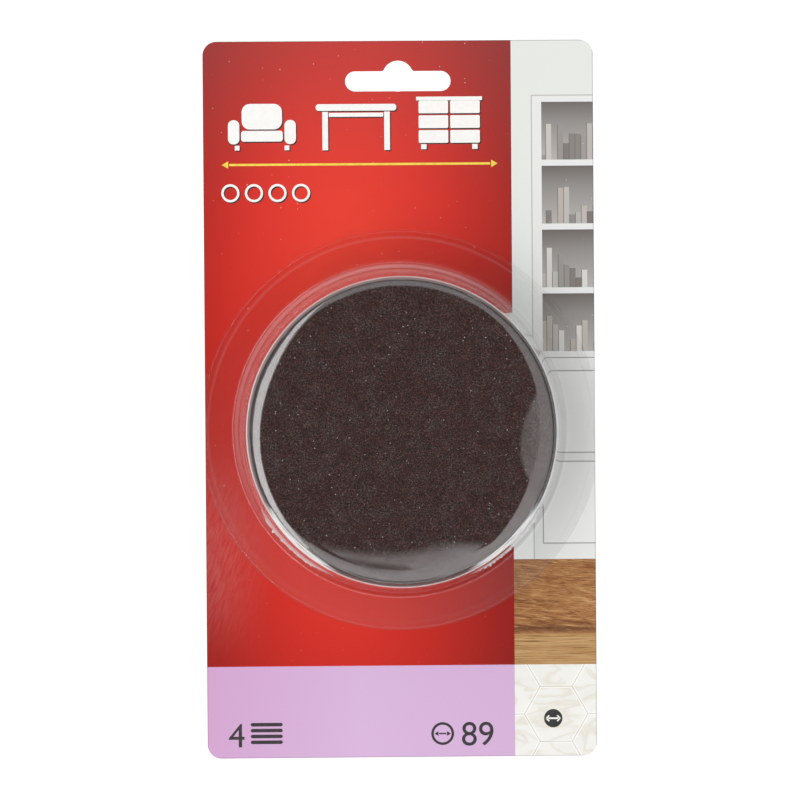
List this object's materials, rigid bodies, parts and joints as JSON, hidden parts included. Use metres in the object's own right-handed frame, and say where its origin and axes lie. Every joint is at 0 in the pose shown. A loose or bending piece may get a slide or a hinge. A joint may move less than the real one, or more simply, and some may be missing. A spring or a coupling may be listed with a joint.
{
  "type": "carded furniture slider pack",
  "caption": "Round felt-soled furniture sliders stacked felt side out under a clear formed blister on a flat printed backing card with a hang slot.",
  "frame": {"origin": "centre of the backing card's back face, on which the pack lies", "axes": "+X across the card, +Y up the card towards the hang slot, +Z out of the printed face through the sliders"},
  "size_m": [0.116, 0.2132, 0.032],
  "materials": {
    "card": "coated board, printed and varnished",
    "clear_film": "clear formed film",
    "felt": "dense needled felt",
    "adhesive": "pressure-sensitive film",
    "shell": "moulded, fine texture",
    "grip_foam": "closed-cell foam"
  },
  "bodies": {
    "card": {"backing_card": "card"},
    "slider_1": {"slider_1_felt_sole": "felt", "slider_1_felt_bond": "adhesive", "slider_1_shell": "shell", "slider_1_pad_bond": "adhesive", "slider_1_grip_pad": "grip_foam"},
    "slider_2": {"slider_2_felt_sole": "felt", "slider_2_felt_bond": "adhesive", "slider_2_shell": "shell", "slider_2_pad_bond": "adhesive", "slider_2_grip_pad": "grip_foam"},
    "slider_3": {"slider_3_felt_sole": "felt", "slider_3_felt_bond": "adhesive", "slider_3_shell": "shell", "slider_3_pad_bond": "adhesive", "slider_3_grip_pad": "grip_foam"},
    "slider_4": {"slider_4_felt_sole": "felt", "slider_4_felt_bond": "adhesive", "slider_4_shell": "shell", "slider_4_pad_bond": "adhesive", "slider_4_grip_pad": "grip_foam"},
    "blister": {"blister": "clear_film"}
  },
  "joints": [
    {"name": "slider_1_lift", "type": "slide", "parent": "card", "child": "slider_1", "axis": [0, 0, 1], "range_m": [0, 0.02]},
    {"name": "slider_2_lift", "type": "slide", "parent": "slider_1", "child": "slider_2", "axis": [0, 0, 1], "range_m": [0, 0.02]},
    {"name": "slider_3_lift", "type": "slide", "parent": "slider_2", "child": "slider_3", "axis": [0, 0, 1], "range_m": [0, 0.02]},
    {"name": "slider_4_lift", "type": "slide", "parent": "slider_3", "child": "slider_4", "axis": [0, 0, 1], "range_m": [0, 0.02]},
    {"name": "blister_lift", "type": "slide", "parent": "slider_4", "child": "blister", "axis": [0, 0, 1], "range_m": [0, 0.045]}
  ]
}
